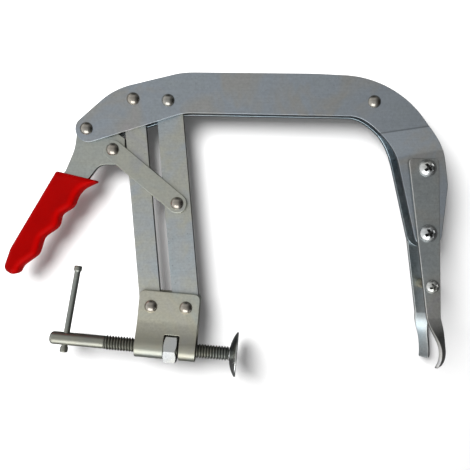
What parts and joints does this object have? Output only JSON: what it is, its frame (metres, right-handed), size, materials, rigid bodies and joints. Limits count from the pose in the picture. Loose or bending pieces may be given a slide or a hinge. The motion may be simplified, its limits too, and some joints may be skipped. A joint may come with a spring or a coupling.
{
  "type": "locking c clamp",
  "caption": "Lever-operated locking C clamp: a riveted plate frame with a fork at one end, and at the other a screw jaw with a swivel pad that an over-centre toggle lever closes.",
  "frame": {"origin": "centre of the pad's flat contact face", "axes": "+X along the frame's top bar, from the lever towards the fork; +Y from the jaw up to the top bar; +Z out of the front cheek, across the plates"},
  "size_m": [0.3093, 0.2142, 0.0426],
  "materials": {
    "zinc_plated_steel": "zinc plated, satin, faintly blue, with fine scratches",
    "fork_steel": "zinc plated, darker and duller than the frame",
    "bracket_steel": "zinc plated, faintly yellow",
    "bright_steel": "bright zinc plated, semi-gloss",
    "brass_sleeve": "yellow plated, satin",
    "red_vinyl": "dipped vinyl, soft gloss"
  },
  "bodies": {
    "frame": {"frame_plate_front": "zinc_plated_steel", "frame_plate_back": "zinc_plated_steel", "frame_spacer": "zinc_plated_steel", "frame_rivet": "bright_steel", "handle_pivot_rivet": "bright_steel", "arm_pivot_rivet_left": "bright_steel", "arm_pivot_rivet_right": "bright_steel", "fork_finger_front": "fork_steel", "fork_finger_back": "fork_steel", "fork_screw_front_upper": "bright_steel", "fork_screw_front_lower": "bright_steel", "fork_screw_back_upper": "bright_steel", "fork_screw_back_lower": "bright_steel", "fork_cross_bolt": "bright_steel", "fork_spacer_sleeve": "brass_sleeve", "fork_cross_nut": "bright_steel"},
    "handle": {"handle_plate": "zinc_plated_steel", "handle_grip": "red_vinyl", "link_handle_rivet": "bright_steel"},
    "links": {"link_front": "zinc_plated_steel", "link_back": "zinc_plated_steel", "link_arm_rivet": "bright_steel"},
    "arm_left": {"arm_left": "zinc_plated_steel"},
    "arm_right": {"arm_right": "zinc_plated_steel"},
    "bracket": {"spindle_bracket": "bracket_steel", "spindle_nut": "bright_steel", "bracket_rivet_left": "bright_steel", "bracket_rivet_right": "bright_steel"},
    "pad": {"pad": "bright_steel"},
    "spindle": {"spindle": "bright_steel"},
    "tommy": {"tommy_bar": "bright_steel"}
  },
  "joints": [
    {"name": "handle_swing", "type": "hinge", "parent": "frame", "child": "handle", "pos_m": [-0.1053, 0.1594, 0], "axis": [0, 0, -1], "range_deg": [0, 60]},
    {"name": "link_swing", "type": "hinge", "parent": "handle", "child": "links", "pos_m": [-0.087, 0.1448, 0], "axis": [0, 0, -1], "range_deg": [-70.6, 0]},
    {"name": "arm_left_swing", "type": "hinge", "parent": "frame", "child": "arm_left", "pos_m": [-0.0726, 0.1802, 0], "axis": [0, 0, -1], "range_deg": [0, 12.42]},
    {"name": "arm_right_swing", "type": "hinge", "parent": "frame", "child": "arm_right", "pos_m": [-0.0481, 0.1791, 0], "axis": [0, 0, -1], "range_deg": [0, 12.42]},
    {"name": "bracket_swing", "type": "hinge", "parent": "arm_right", "child": "bracket", "pos_m": [-0.0358, 0.0338, 0], "axis": [0, 0, -1], "range_deg": [-12.42, 0]},
    {"name": "spindle_feed", "type": "slide", "parent": "bracket", "child": "pad", "axis": [0.9957, -0.0924, 0], "range_m": [-0.022, 0.04]},
    {"name": "spindle_turn", "type": "hinge", "parent": "pad", "child": "spindle", "pos_m": [0, 0, 0], "axis": [0.9957, -0.0924, 0], "range_deg": [-3960, 7200]},
    {"name": "tommy_slide", "type": "slide", "parent": "spindle", "child": "tommy", "axis": [0.1387, 0.9848, -0.1044], "range_m": [-0.043, 0.001]}
  ],
  "couplings": [
    {"joint": "link_swing", "follows": "handle_swing", "ratio": -1.1759},
    {"joint": "arm_left_swing", "follows": "handle_swing", "ratio": 0.20677},
    {"joint": "arm_right_swing", "follows": "handle_swing", "ratio": 0.20677},
    {"joint": "bracket_swing", "follows": "handle_swing", "ratio": -0.20677},
    {"joint": "spindle_turn", "follows": "spindle_feed", "rad_per_m": 3141.6}
  ]
}
